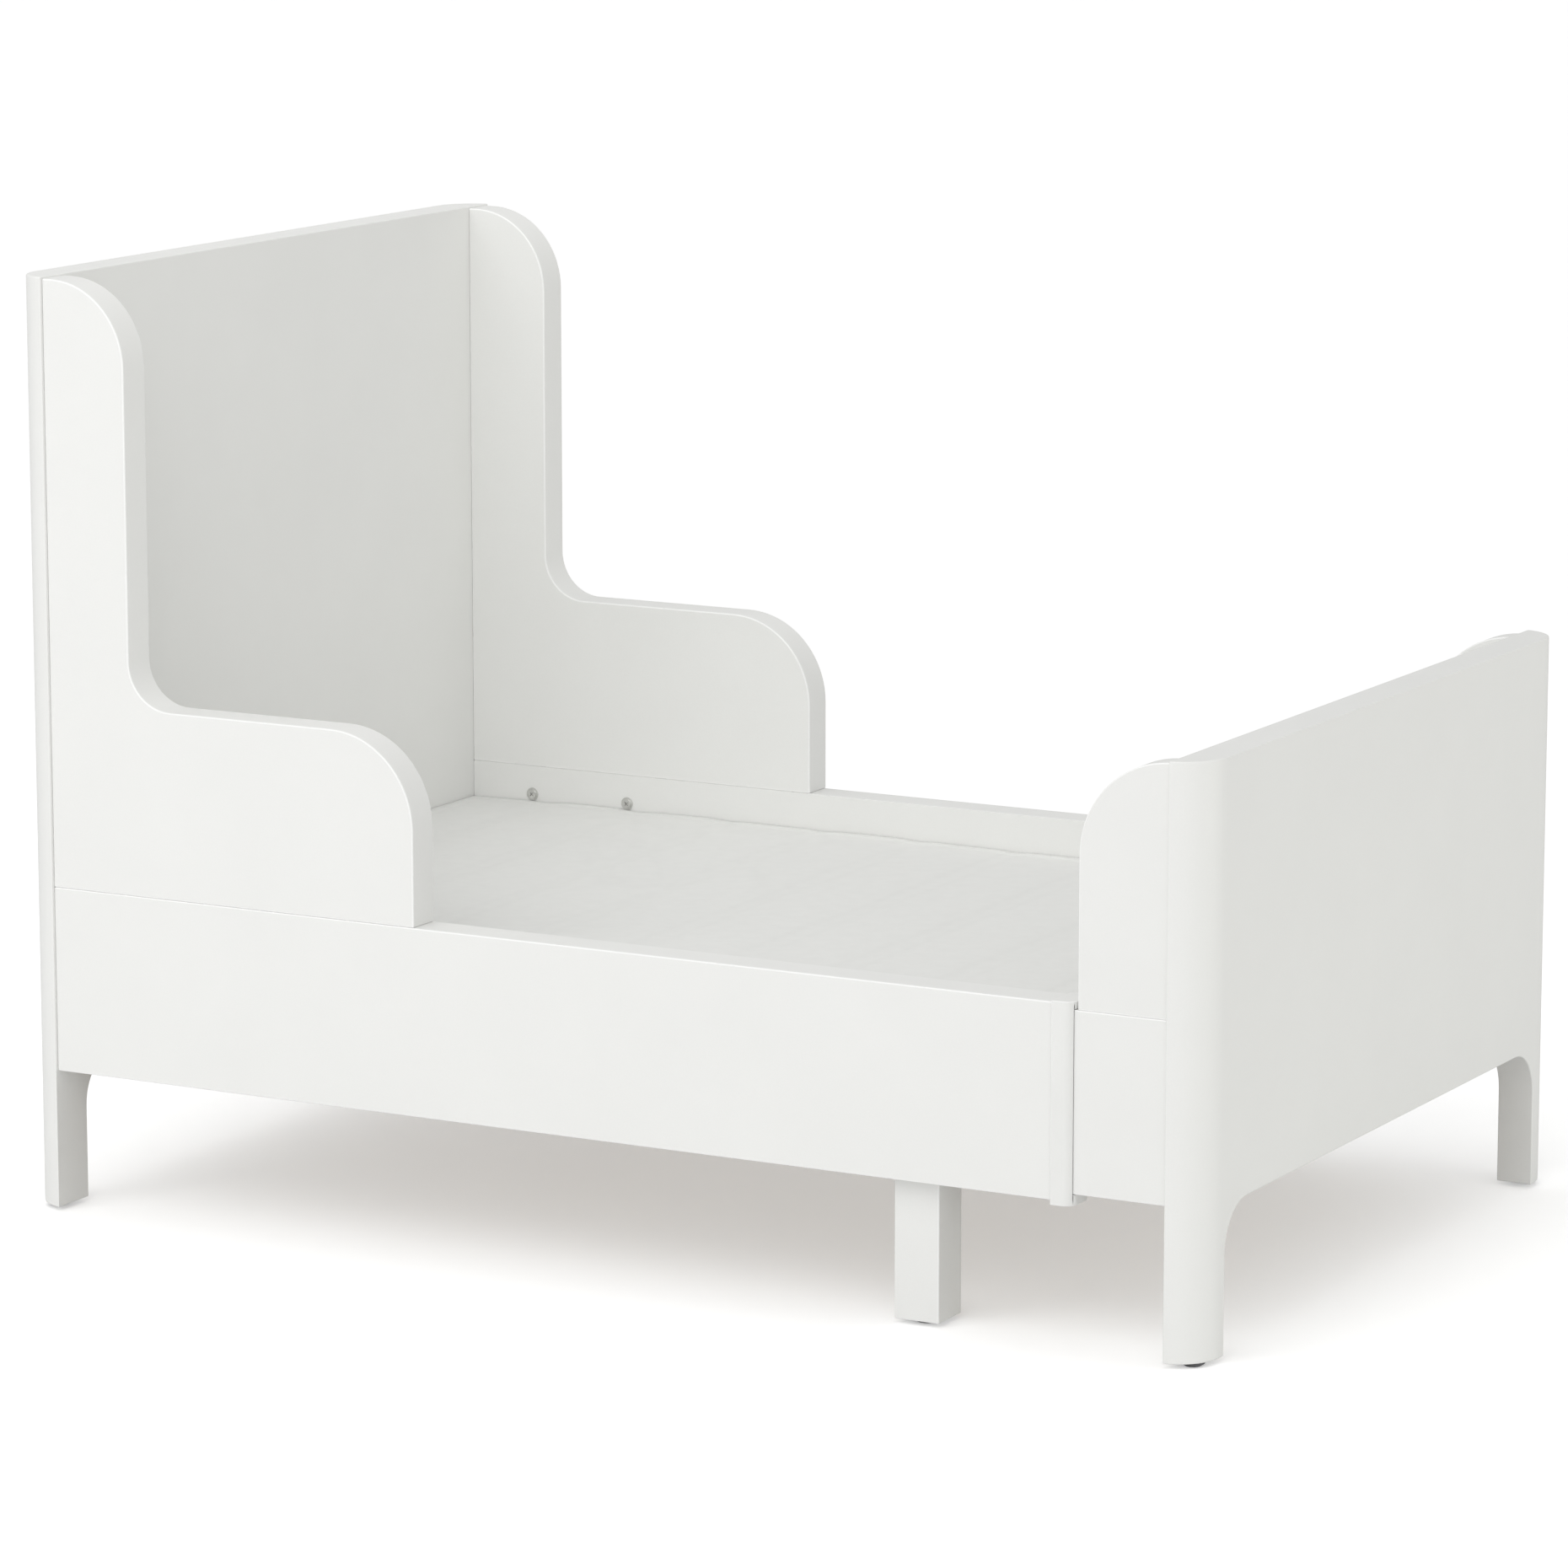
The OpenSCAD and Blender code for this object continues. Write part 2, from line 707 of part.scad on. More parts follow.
headboard();
rail(-1);  // near_rail
rail(1);  // far_rail
rail_block(-1);  // near_rail_block
rail_block(1);  // far_rail_block
wing(-1);  // near_wing
wing(1);  // far_wing
end_cap(-1);  // near_end_cap
end_cap(1);  // far_end_cap
middle_leg(-1);  // near_middle_leg
middle_leg(1);  // far_middle_leg
cross_beam();
head_ledge(-1);  // near_ledge
head_ledge(1);  // far_ledge
for (i = [1:head_slats])
  head_slat(i);
head_base_cover();
rail_screws();
ledge_screws();
leg_screws();
head_dowels();
head_brackets();
head_bracket_screws();
head_glides();
middle_glides();
footboard();
foot_rail(-1);  // near_foot_rail
foot_rail(1);  // far_foot_rail
foot_wing(-1);  // near_foot_wing
foot_wing(1);  // far_foot_wing
runner(-1);  // near_runner
runner(1);  // far_runner
stop_bar();
end_ledge();
for (i = [1:foot_slats])
  foot_slat(i);
foot_base_cover();
foot_dowels();
foot_brackets();
foot_bracket_screws();
foot_glides();
slide_pads();
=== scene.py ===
"""Looks of the extendable toddler bed: materials, arrises and base covers around the CAD frame.

Lengths are in metres, in the frame of the CAD model: X runs from the headboard to the
footboard, Y from the near side to the far side, and Z is up from the floor.
"""
import math

import bpy
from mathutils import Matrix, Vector, noise


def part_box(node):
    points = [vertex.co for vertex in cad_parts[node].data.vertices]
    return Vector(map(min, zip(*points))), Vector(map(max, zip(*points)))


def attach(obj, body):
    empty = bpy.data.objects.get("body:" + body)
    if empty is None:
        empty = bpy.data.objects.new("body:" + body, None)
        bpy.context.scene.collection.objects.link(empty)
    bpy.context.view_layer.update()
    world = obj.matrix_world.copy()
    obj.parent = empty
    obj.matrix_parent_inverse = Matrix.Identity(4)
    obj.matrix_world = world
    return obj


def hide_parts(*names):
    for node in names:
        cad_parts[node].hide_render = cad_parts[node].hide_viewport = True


MM = 0.001
BODY_OF_COVER = {"head_base_cover": "head_section", "foot_base_cover": "foot_section"}

# Camera, fitted to the photograph's view of the CAD model
CAMERA_PLACE = (3.3191, -6.1130, 1.7418)
CAMERA_HEADING = 2.0701  # radians, anticlockwise from +X
CAMERA_PITCH = 0.1838  # radians below the horizon
SENSOR = 36.0  # millimetres
LENS = 152.3  # millimetres
CAMERA_REACH = 200.0

# The surroundings light the bed less than they show, and so does the floor, which glows faintly
WORLD_LIGHT = 0.60
FLOOR_GLOW = 0.03
FLOOR_WHITENESS = 0.35
FLOOR_HALF = 60.0

WHITE = (1.0, 1.0, 1.0)
WARM = (1.0, 1.0, 0.90)

# Distant lights: name, direction they shine from, strength, angular size, colour
SUNS = (
    ("top_sun", (0.0, 0.0, 1.0), 0.12, math.radians(40), WHITE),
    ("near_sun", (0.0, -0.707, 0.707), 0.37, math.radians(60), WHITE),
    ("corner_sun", (0.47, -0.814, 0.342), 0.24, math.radians(40), WHITE),
    ("foot_sun", (0.999, 0.0, 0.052), 0.17, math.radians(24), WARM),
)
# Soft boxes: name, place, target, width and height, power in watts, colour
BOXES = (
    ("foot_box", (2.4, 0.0, 0.6), (0.69, 0.0, 0.4), (1.0, 1.0), 2.7, WARM),
    ("near_box", (0.3, -2.6, 2.8), (-0.3, 0.2, 0.5), (2.0, 2.0), 14, WHITE),
    ("head_box", (-0.9, 0.2, 2.2), (-0.67, 0.2, 1.0), (1.0, 1.0), 3, WHITE),
    ("side_box", (-1.4, -3.0, 2.0), (-0.4, -0.4, 0.6), (1.8, 1.8), 14, WHITE),
)

# Radius of the rounded arrises on the parts of each material slot
ARRIS = {
    "white_board": 1.5 * MM,
    "white_leg": 1.5 * MM,
    "cap_plastic": 0.8 * MM,
    "bare_wood": 1.0 * MM,
    "slat_veneer": 0.5 * MM,
    "zinc_steel": 0.15 * MM,
    "glide_plastic": 0.5 * MM,
    "slide_pad": 0.15 * MM,
}
ARRIS_STEPS = 3
END_BOARDS = ("headboard", "footboard")  # their arrises get neither the smoother polish nor the painted highlight
ARRIS_SHINE = 0.12  # how much smoother the lacquer is there
WELD_REACH = 0.005 * MM
FLAT_ANGLE = math.radians(0.3)
SHARP_ANGLE = math.radians(30)
SHADE_WEIGHT = 80
SHORTEST_ARRIS = 1.0 * MM  # shorter edges are the rims of bores
FINE_ARRIS = 0.3 * MM  # parts with a smaller radius have short edges that matter
SHORTEST_FINE_ARRIS = 0.3 * MM

# Base covers
CLOTH_T = 0.8 * MM
CLOTH_CLEAR = 0.1 * MM  # cloth above the slats
CLOTH_STEP = 6 * MM  # spacing of the cloth's grid
HEM_W = 14 * MM
HEM_T = 0.45 * MM
STITCH_PITCH = 4 * MM
STITCH_L = 3.1 * MM
STITCH_R = 0.22 * MM
STITCH_INSET = 11 * MM
STITCH_SIDES = 6
STITCH_RINGS = 5
WAVE_LIFT = 0.5 * MM  # broad unevenness of the cloth
PUCKER_LIFT = 0.22 * MM  # small puckers beside the hem
PUCKER_REACH = 30 * MM
HEAD_SAG = 1.3 * MM
FOOT_SAG = 1.2 * MM

TWO_PLIES = 2.6 * MM  # a light ply and a dark one in the slats

# Finishes, as linear colours
LACQUER_WHITE = (0.850, 0.852, 0.834)
PAINTED_HIGHLIGHT_WHITE = (0.925, 0.925, 0.915)  # painted highlight: a lighter colour on the polished arrises, standing in for the light they catch
CAP_WHITE = (0.835, 0.838, 0.820)
PAD_WHITE = (0.86, 0.865, 0.86)
GLIDE_GREY = (0.105, 0.106, 0.110)
FABRIC_WHITE = (0.800, 0.803, 0.784)
THREAD_WHITE = (0.85, 0.85, 0.83)

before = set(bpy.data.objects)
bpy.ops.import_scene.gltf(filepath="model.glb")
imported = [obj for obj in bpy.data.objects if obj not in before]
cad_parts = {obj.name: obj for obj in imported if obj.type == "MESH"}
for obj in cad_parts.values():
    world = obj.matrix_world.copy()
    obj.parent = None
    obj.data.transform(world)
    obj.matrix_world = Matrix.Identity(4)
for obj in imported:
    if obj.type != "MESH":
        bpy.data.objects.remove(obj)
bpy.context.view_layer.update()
record_slot = {
    node: piece.material_slots[0].material.name.split(".")[0]
    for node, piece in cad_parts.items()
}


# ---------------------------------------------------------------- camera and light

def make_camera():
    """An unshifted camera that looks a little down at the bed, as the photograph does."""
    data = bpy.data.cameras.new("camera")
    data.sensor_width = SENSOR
    data.lens = LENS
    data.clip_end = CAMERA_REACH
    camera = bpy.data.objects.new("camera", data)
    bpy.context.scene.collection.objects.link(camera)
    ahead = Vector((
        math.cos(CAMERA_HEADING) * math.cos(CAMERA_PITCH),
        math.sin(CAMERA_HEADING) * math.cos(CAMERA_PITCH),
        -math.sin(CAMERA_PITCH),
    ))
    camera.location = CAMERA_PLACE
    camera.rotation_euler = ahead.to_track_quat("-Z", "Y").to_euler()
    bpy.context.scene.camera = camera


def soft_box(name, place, target, size, power, colour):
    """A rectangular soft light at a place, facing a target."""
    data = bpy.data.lights.new(name, "AREA")
    data.shape = "RECTANGLE"
    data.size, data.size_y = size
    data.energy = power
    data.color = colour
    light = bpy.data.objects.new(name, data)
    bpy.context.scene.collection.objects.link(light)
    light.location = place
    light.rotation_euler = (Vector(target) - Vector(place)).to_track_quat("-Z", "Y").to_euler()


def soft_sun(name, direction, strength, spread, colour):
    """A very wide distant light, shining from a direction."""
    data = bpy.data.lights.new(name, "SUN")
    data.energy = strength
    data.angle = spread
    data.color = colour
    light = bpy.data.objects.new(name, data)
    bpy.context.scene.collection.objects.link(light)
    light.rotation_euler = Vector(direction).to_track_quat("Z", "Y").to_euler()


def light_studio():
    """A white world that is dimmer as a light than it looks, with the suns and soft boxes."""
    world = bpy.data.worlds.new("studio")
    world.use_nodes = True
    background = world.node_tree.nodes["Background"]
    background.inputs["Color"].default_value = (1.0, 1.0, 0.995, 1.0)
    seen = world.node_tree.nodes.new("ShaderNodeLightPath")
    strength = world.node_tree.nodes.new("ShaderNodeMapRange")
    strength.inputs["To Min"].default_value = WORLD_LIGHT
    strength.inputs["To Max"].default_value = 1.0
    world.node_tree.links.new(seen.outputs["Is Camera Ray"], strength.inputs["Value"])
    world.node_tree.links.new(strength.outputs["Result"], background.inputs["Strength"])
    bpy.context.scene.world = world
    for sun in SUNS:
        soft_sun(*sun)
    for box in BOXES:
        soft_box(*box)
    bpy.context.scene.view_settings.view_transform = "Standard"


def make_floor():
    """A wide pale floor that runs out of every view."""
    half = FLOOR_HALF
    mesh = bpy.data.meshes.new("floor")
    mesh.from_pydata(
        [(-half, -half, 0), (half, -half, 0), (half, half, 0), (-half, half, 0)],
        [],
        [(0, 1, 2, 3)],
    )
    floor = bpy.data.objects.new("floor", mesh)
    bpy.context.scene.collection.objects.link(floor)
    look = Look("studio_floor", {"Roughness": 0.9, "Specular IOR Level": 0.2})
    paper = look.noise(look.place(), 40.0, detail=3.0)
    look.join(look.ramp(paper, [(0.3, (0.84, 0.84, 0.84)), (0.7, (0.86, 0.86, 0.86))]), "Base Color")
    look.shader.inputs["Emission Color"].default_value = (1.0, 1.0, 1.0, 1.0)
    seen = look.add("LightPath").outputs["Is Camera Ray"]
    look.join(look.span(seen, FLOOR_GLOW, FLOOR_GLOW + FLOOR_WHITENESS), "Emission Strength")
    mesh.materials.append(look.material)


# ---------------------------------------------------------------- materials

class Look:
    """A material, with short calls that add nodes to it and join them."""

    def __init__(self, name, surface):
        self.material = bpy.data.materials.new(name)
        self.material.use_nodes = True
        self.tree = self.material.node_tree
        self.shader = self.tree.nodes["Principled BSDF"]
        for socket, value in surface.items():
            self.shader.inputs[socket].default_value = value

    def add(self, kind, **inputs):
        """Adds a node; an input is a number, a vector or the output that feeds it."""
        node = self.tree.nodes.new("ShaderNode" + kind)
        for name, value in inputs.items():
            self.feed(node.inputs[name.replace("_", " ")], value)
        return node

    def feed(self, socket, value):
        if isinstance(value, bpy.types.NodeSocket):
            self.tree.links.new(value, socket)
        else:
            socket.default_value = value

    def join(self, output, name):
        self.tree.links.new(output, self.shader.inputs[name])

    def place(self, scale=(1.0, 1.0, 1.0), turn=(0.0, 0.0, 0.0)):
        """The point on the bed, turned and then stretched."""
        point = self.add("TexCoord").outputs["Object"]
        return self.add("Mapping", Vector=point, Rotation=turn, Scale=scale).outputs["Vector"]

    def noise(self, where, scale, detail=2.0, roughness=0.5, distortion=0.0):
        node = self.add(
            "TexNoise",
            Vector=where,
            Scale=scale,
            Detail=detail,
            Roughness=roughness,
            Distortion=distortion,
        )
        return node.outputs["Fac"]

    def math(self, operation, first, second=0.0):
        node = self.tree.nodes.new("ShaderNodeMath")
        node.operation = operation
        self.feed(node.inputs[0], first)
        self.feed(node.inputs[1], second)
        return node.outputs["Value"]

    def average(self, first, second, share):
        """A share of the first value plus the rest of the second."""
        rest = self.math("MULTIPLY", second, 1.0 - share)
        return self.math("ADD", self.math("MULTIPLY", first, share), rest)

    def span(self, value, low, high, start=0.0, end=1.0):
        """The value's range from start to end, stretched to run from low to high."""
        node = self.add("MapRange", Value=value, From_Min=start, From_Max=end, To_Min=low, To_Max=high)
        return node.outputs["Result"]

    def ramp(self, factor, stops):
        node = self.add("ValToRGB", Fac=factor)
        ramp = node.color_ramp
        while len(ramp.elements) < len(stops):
            ramp.elements.new(0.5)
        for element, (place, colour) in zip(ramp.elements, stops):
            element.position = place
            element.color = (*colour, 1.0)
        return node.outputs["Color"]

    def mix(self, factor, first, second, blend="MIX"):
        node = self.tree.nodes.new("ShaderNodeMix")
        node.data_type = "RGBA"
        node.blend_type = blend
        factor_socket, first_socket, second_socket = (node.inputs[i] for i in (0, 6, 7))
        self.feed(factor_socket, factor)
        self.feed(first_socket, first)
        self.feed(second_socket, second)
        return node.outputs[2]

    def bump(self, height, distance, under=None):
        node = self.add("Bump", Height=height, Distance=distance, Strength=1.0)
        if under is not None:
            self.feed(node.inputs["Normal"], under)
        return node.outputs["Normal"]


def tint(colour, factor):
    return tuple(channel * factor for channel in colour)


def lacquer(name, colour, grain=None, shine=0.0):
    """Satin white lacquer: faint clouding, orange peel and, over solid wood, a little of its grain.

    Shine is how much smoother it is than satin, as on arrises that hands have polished.
    """
    look = Look(name, {
        "IOR": 1.5,
        "Specular IOR Level": 0.45,
        "Coat Weight": 0.08,
        "Coat Roughness": 0.25,
    })
    where = look.place()
    clouds = look.noise(where, 9.0, detail=3.0)
    specks = look.noise(where, 620.0, detail=2.0, roughness=0.6)
    mottle = look.average(clouds, specks, 0.5)
    look.join(look.ramp(mottle, [(0.3, tint(colour, 0.982)), (0.7, tint(colour, 1.012))]), "Base Color")
    dull = look.noise(where, 26.0, detail=4.0)
    look.join(look.span(dull, 0.36 - shine, 0.50 - shine, 0.3, 0.7), "Roughness")
    peel = look.noise(where, 330.0, detail=1.0)
    normal = look.bump(peel, 0.018 * MM)
    if grain is not None:
        fibres = look.noise(look.place(grain), 420.0, detail=3.0, roughness=0.6)
        normal = look.bump(fibres, 0.03 * MM, normal)
    look.join(normal, "Normal")
    return look.material


def moulded(name, colour, roughness, texture_scale, depth, glow=0.45):
    """Moulded plastic with a fine spark-eroded texture."""
    look = Look(name, {"IOR": 1.49, "Specular IOR Level": glow})
    where = look.place()
    flow = look.noise(where, 14.0, detail=2.0)
    look.join(look.ramp(flow, [(0.3, tint(colour, 0.985)), (0.7, tint(colour, 1.015))]), "Base Color")
    grit = look.noise(where, texture_scale, detail=2.0, roughness=0.7)
    look.join(look.span(grit, roughness - 0.06, roughness + 0.08, 0.3, 0.7), "Roughness")
    look.join(look.bump(grit, depth), "Normal")
    return look.material


def planed_wood(name, along):
    """Planed pine, with its rings and fibres running along one axis."""
    look = Look(name, {"IOR": 1.45, "Specular IOR Level": 0.35})
    stretch = tuple(0.05 if axis == along else 1.0 for axis in "XYZ")
    where = look.place(stretch)
    drift = look.noise(where, 9.0, detail=2.0)
    heart = look.add("VectorMath")
    heart.operation = "ADD"
    look.feed(heart.inputs[0], where)
    shift = look.add("CombineXYZ")
    for axis in "XYZ":
        look.feed(shift.inputs[axis], look.math("MULTIPLY", drift, 0.05))
    look.feed(heart.inputs[1], shift.outputs["Vector"])
    rings = look.add(
        "TexWave",
        Vector=heart.outputs["Vector"],
        Scale=38.0,
        Distortion=2.2,
        Detail=2.0,
        Detail_Scale=1.4,
    )
    rings.wave_type = "BANDS"
    rings.bands_direction = "DIAGONAL"
    rings.wave_profile = "SAW"
    fine = tuple(0.02 if axis == along else 1.0 for axis in "XYZ")
    fibres = look.noise(look.place(fine), 900.0, detail=3.0, roughness=0.65)
    wood = look.ramp(rings.outputs["Fac"], [
        (0.0, (0.74, 0.56, 0.35)),
        (0.65, (0.68, 0.49, 0.28)),
        (0.9, (0.50, 0.32, 0.16)),
        (1.0, (0.70, 0.52, 0.31)),
    ])
    streak = look.ramp(fibres, [(0.3, (0.84, 0.82, 0.80)), (0.7, (1.0, 1.0, 1.0))])
    look.join(look.mix(1.0, wood, streak, "MULTIPLY"), "Base Color")
    look.join(look.span(fibres, 0.48, 0.66, 0.3, 0.7), "Roughness")
    look.join(look.bump(fibres, 0.08 * MM, look.bump(rings.outputs["Fac"], 0.03 * MM)), "Normal")
    return look.material


def birch_veneer(name):
    """Layer-glued birch: calm figure on the faces and thin plies on the long edges."""
    look = Look(name, {
        "IOR": 1.46,
        "Specular IOR Level": 0.4,
        "Coat Weight": 0.1,
        "Coat Roughness": 0.35,
    })
    figure = look.noise(look.place((1.0, 0.08, 1.0)), 26.0, detail=3.0, distortion=0.6)
    fibres = look.noise(look.place((1.0, 0.02, 1.0)), 1100.0, detail=2.0, roughness=0.6)
    flecks = look.noise(look.place((1.0, 0.05, 1.0)), 420.0, detail=1.0)
    face = look.ramp(figure, [
        (0.3, (0.70, 0.54, 0.36)),
        (0.5, (0.76, 0.61, 0.42)),
        (0.7, (0.80, 0.66, 0.47)),
    ])
    face = look.mix(look.span(flecks, 0.0, 0.35, 0.66, 0.72), face, (0.48, 0.32, 0.18, 1.0))
    level = look.add("SeparateXYZ", Vector=look.place()).outputs["Z"]
    ply = look.math("FRACT", look.math("DIVIDE", level, TWO_PLIES))
    plies = look.ramp(ply, [
        (0.0, (0.74, 0.58, 0.40)),
        (0.46, (0.74, 0.58, 0.40)),
        (0.54, (0.50, 0.34, 0.20)),
        (1.0, (0.55, 0.38, 0.23)),
    ])
    side = look.add("SeparateXYZ", Vector=look.add("NewGeometry").outputs["Normal"]).outputs["Z"]
    edge = look.span(look.math("ABSOLUTE", side), 1.0, 0.0, 0.25, 0.5)
    wood = look.mix(edge, face, plies)
    streak = look.ramp(fibres, [(0.3, (0.90, 0.89, 0.87)), (0.7, (1.0, 1.0, 1.0))])
    look.join(look.mix(1.0, wood, streak, "MULTIPLY"), "Base Color")
    look.join(look.span(fibres, 0.38, 0.55, 0.3, 0.7), "Roughness")
    look.join(look.bump(fibres, 0.05 * MM), "Normal")
    return look.material


def nonwoven(name, colour):
    """Spunbond fabric: crossing fibres pressed together at a lattice of small bonding points."""
    look = Look(name, {
        "IOR": 1.45,
        "Specular IOR Level": 0.3,
        "Sheen Weight": 0.12,
        "Sheen Roughness": 0.5,
    })
    along = look.place((1.0, 0.16, 1.0), (0.0, 0.0, 0.5))
    across = look.place((0.16, 1.0, 1.0), (0.0, 0.0, 0.35))
    one_way = look.noise(along, 1500.0, detail=2.0, distortion=0.4)
    other_way = look.noise(across, 1500.0, detail=2.0, distortion=0.4)
    fibres = look.math("MAXIMUM", one_way, other_way)
    slant = look.place((1.0, 0.72, 1.0), (0.0, 0.0, math.radians(45)))
    lattice = look.add("TexVoronoi", Vector=slant, Scale=620.0, Randomness=0.08)
    bonds = look.span(lattice.outputs["Distance"], 0.0, 1.0, 0.18, 0.32)
    weight = look.noise(look.place(), 55.0, detail=4.0, roughness=0.6)
    shade = look.average(weight, fibres, 0.85)
    cloth = look.ramp(shade, [(0.35, tint(colour, 0.982)), (0.65, tint(colour, 1.005))])
    pressed = look.ramp(bonds, [(0.0, (0.95, 0.95, 0.95)), (1.0, (1.0, 1.0, 1.0))])
    look.join(look.mix(1.0, cloth, pressed, "MULTIPLY"), "Base Color")
    look.join(look.span(bonds, 0.62, 0.86), "Roughness")
    look.join(look.bump(bonds, 0.08 * MM, look.bump(fibres, 0.02 * MM)), "Normal")
    return look.material


def thread(name, colour):
    """Twisted polyester sewing thread."""
    look = Look(name, {"Roughness": 0.5, "Sheen Weight": 0.3})
    twist = look.noise(look.place((1.0, 1.0, 1.0), (0.0, 0.0, 0.8)), 2600.0, detail=1.0)
    look.join(look.ramp(twist, [(0.3, tint(colour, 0.90)), (0.7, colour)]), "Base Color")
    look.join(look.bump(twist, 0.05 * MM), "Normal")
    return look.material


def zinc(name):
    """Zinc plating over pressed steel, a little clouded and scratched."""
    look = Look(name, {"Metallic": 1.0})
    where = look.place()
    clouds = look.noise(where, 130.0, detail=4.0, roughness=0.6)
    scratches = look.noise(look.place((1.0, 0.06, 0.3), (0.0, 0.4, 0.3)), 2400.0, detail=1.0)
    look.join(look.ramp(clouds, [(0.3, (0.60, 0.60, 0.58)), (0.7, (0.76, 0.76, 0.74))]), "Base Color")
    wear = look.average(clouds, scratches, 0.7)
    look.join(look.span(wear, 0.26, 0.44, 0.3, 0.7), "Roughness")
    look.join(look.bump(scratches, 0.01 * MM), "Normal")
    return look.material


# ---------------------------------------------------------------- CAD nodes

def arris_marker(name, shortest):
    """Geometry nodes that mark the sharp edges to be rounded, without the small rims of bores."""
    group = bpy.data.node_groups.new(name, "GeometryNodeTree")
    for side in ("INPUT", "OUTPUT"):
        group.interface.new_socket("Geometry", in_out=side, socket_type="NodeSocketGeometry")
    mesh_in = group.nodes.new("NodeGroupInput")
    mesh_out = group.nodes.new("NodeGroupOutput")
    angle = group.nodes.new("GeometryNodeInputMeshEdgeAngle")
    ends = group.nodes.new("GeometryNodeInputMeshEdgeVertices")
    length = group.nodes.new("ShaderNodeVectorMath")
    length.operation = "DISTANCE"
    group.links.new(ends.outputs["Position 1"], length.inputs[0])
    group.links.new(ends.outputs["Position 2"], length.inputs[1])
    both = group.nodes.new("FunctionNodeBooleanMath")
    both.operation = "AND"
    limits = ((angle.outputs["Unsigned Angle"], SHARP_ANGLE), (length.outputs["Value"], shortest))
    for i, (value, limit) in enumerate(limits):
        over = group.nodes.new("FunctionNodeCompare")
        over.data_type = "FLOAT"
        over.operation = "GREATER_THAN"
        group.links.new(value, over.inputs["A"])
        over.inputs["B"].default_value = limit
        group.links.new(over.outputs["Result"], both.inputs[i])
    mark = group.nodes.new("GeometryNodeStoreNamedAttribute")
    mark.data_type = "FLOAT"
    mark.domain = "EDGE"
    mark.inputs["Name"].default_value = "bevel_weight_edge"
    group.links.new(mesh_in.outputs["Geometry"], mark.inputs["Geometry"])
    group.links.new(both.outputs["Boolean"], mark.inputs["Value"])
    smooth = group.nodes.new("GeometryNodeSetShadeSmooth")
    group.links.new(mark.outputs["Geometry"], smooth.inputs["Geometry"])
    group.links.new(smooth.outputs["Geometry"], mesh_out.inputs["Geometry"])
    return group


def round_arrises(piece, radius, marker, polished_painted_highlight=None):
    """Rounds the sharp edges with modifiers, which leave the CAD mesh as it is."""
    weld = piece.modifiers.new("weld", "WELD")
    weld.merge_threshold = WELD_REACH
    flat = piece.modifiers.new("flat", "DECIMATE")
    flat.decimate_type = "DISSOLVE"
    flat.angle_limit = FLAT_ANGLE
    piece.modifiers.new("mark", "NODES").node_group = marker
    bevel = piece.modifiers.new("arris", "BEVEL")
    bevel.limit_method = "WEIGHT"
    bevel.width = radius
    bevel.segments = ARRIS_STEPS
    bevel.use_clamp_overlap = False
    # The arris gets a second material: smoother lacquer, with a painted highlight in its lighter colour
    if polished_painted_highlight is not None:
        piece.data.materials.append(polished_painted_highlight)
        bevel.material = 1
    shade = piece.modifiers.new("shade", "WEIGHTED_NORMAL")
    shade.weight = SHADE_WEIGHT


def dress_frame():
    """Gives each CAD node its rounded arrises and its material."""
    # Arris materials: smoother than the faces, and lighter in colour as a painted highlight
    polished_painted_highlight = {
        "white_board": lacquer("polished_painted_highlight_board_arris", PAINTED_HIGHLIGHT_WHITE, shine=ARRIS_SHINE),
        "white_leg": lacquer("polished_painted_highlight_leg_arris", PAINTED_HIGHLIGHT_WHITE, shine=ARRIS_SHINE),
        "cap_plastic": moulded("polished_painted_highlight_cap_arris", PAINTED_HIGHLIGHT_WHITE, 0.30, 2300.0, 0.015 * MM),
    }
    looks = {
        "white_board": lacquer("satin_white_board", LACQUER_WHITE),
        "white_leg": lacquer("satin_white_leg", LACQUER_WHITE, grain=(1.0, 1.0, 0.04)),
        "cap_plastic": moulded("white_cap_plastic", CAP_WHITE, 0.36, 2300.0, 0.03 * MM),
        "slat_veneer": birch_veneer("birch_veneer"),
        "zinc_steel": zinc("bright_zinc"),
        "glide_plastic": moulded("dark_glide_plastic", GLIDE_GREY, 0.5, 1900.0, 0.03 * MM),
        "slide_pad": moulded("white_slide_pad", PAD_WHITE, 0.3, 1500.0, 0.01 * MM),
    }
    coarse = arris_marker("mark_arrises", SHORTEST_ARRIS)
    fine = arris_marker("mark_fine_arrises", SHORTEST_FINE_ARRIS)
    pine = {axis: planed_wood("planed_pine_" + axis.lower(), axis) for axis in "XYZ"}
    for node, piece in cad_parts.items():
        if node in BODY_OF_COVER:
            continue
        slot = record_slot[node]
        marker = fine if ARRIS[slot] < FINE_ARRIS else coarse
        # The arris material with the painted highlight, left off the end boards
        shine = None if node in END_BOARDS else polished_painted_highlight.get(slot)
        round_arrises(piece, ARRIS[slot], marker, shine)
        if slot == "bare_wood":
            low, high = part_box(node)
            size = high - low
            along = "XYZ"[max(range(3), key=lambda axis: size[axis])]
            piece.material_slots[0].material = pine[along]
        else:
            piece.material_slots[0].material = looks[slot]


# ---------------------------------------------------------------- base covers

def make_piece(name, points, faces, material):
    """A smooth-shaded mesh object of one material."""
    mesh = bpy.data.meshes.new(name)
    mesh.from_pydata(points, [], faces)
    mesh.materials.append(material)
    mesh.polygons.foreach_set("use_smooth", [True] * len(mesh.polygons))
    mesh.update()
    piece = bpy.data.objects.new(name, mesh)
    bpy.context.scene.collection.objects.link(piece)
    return piece


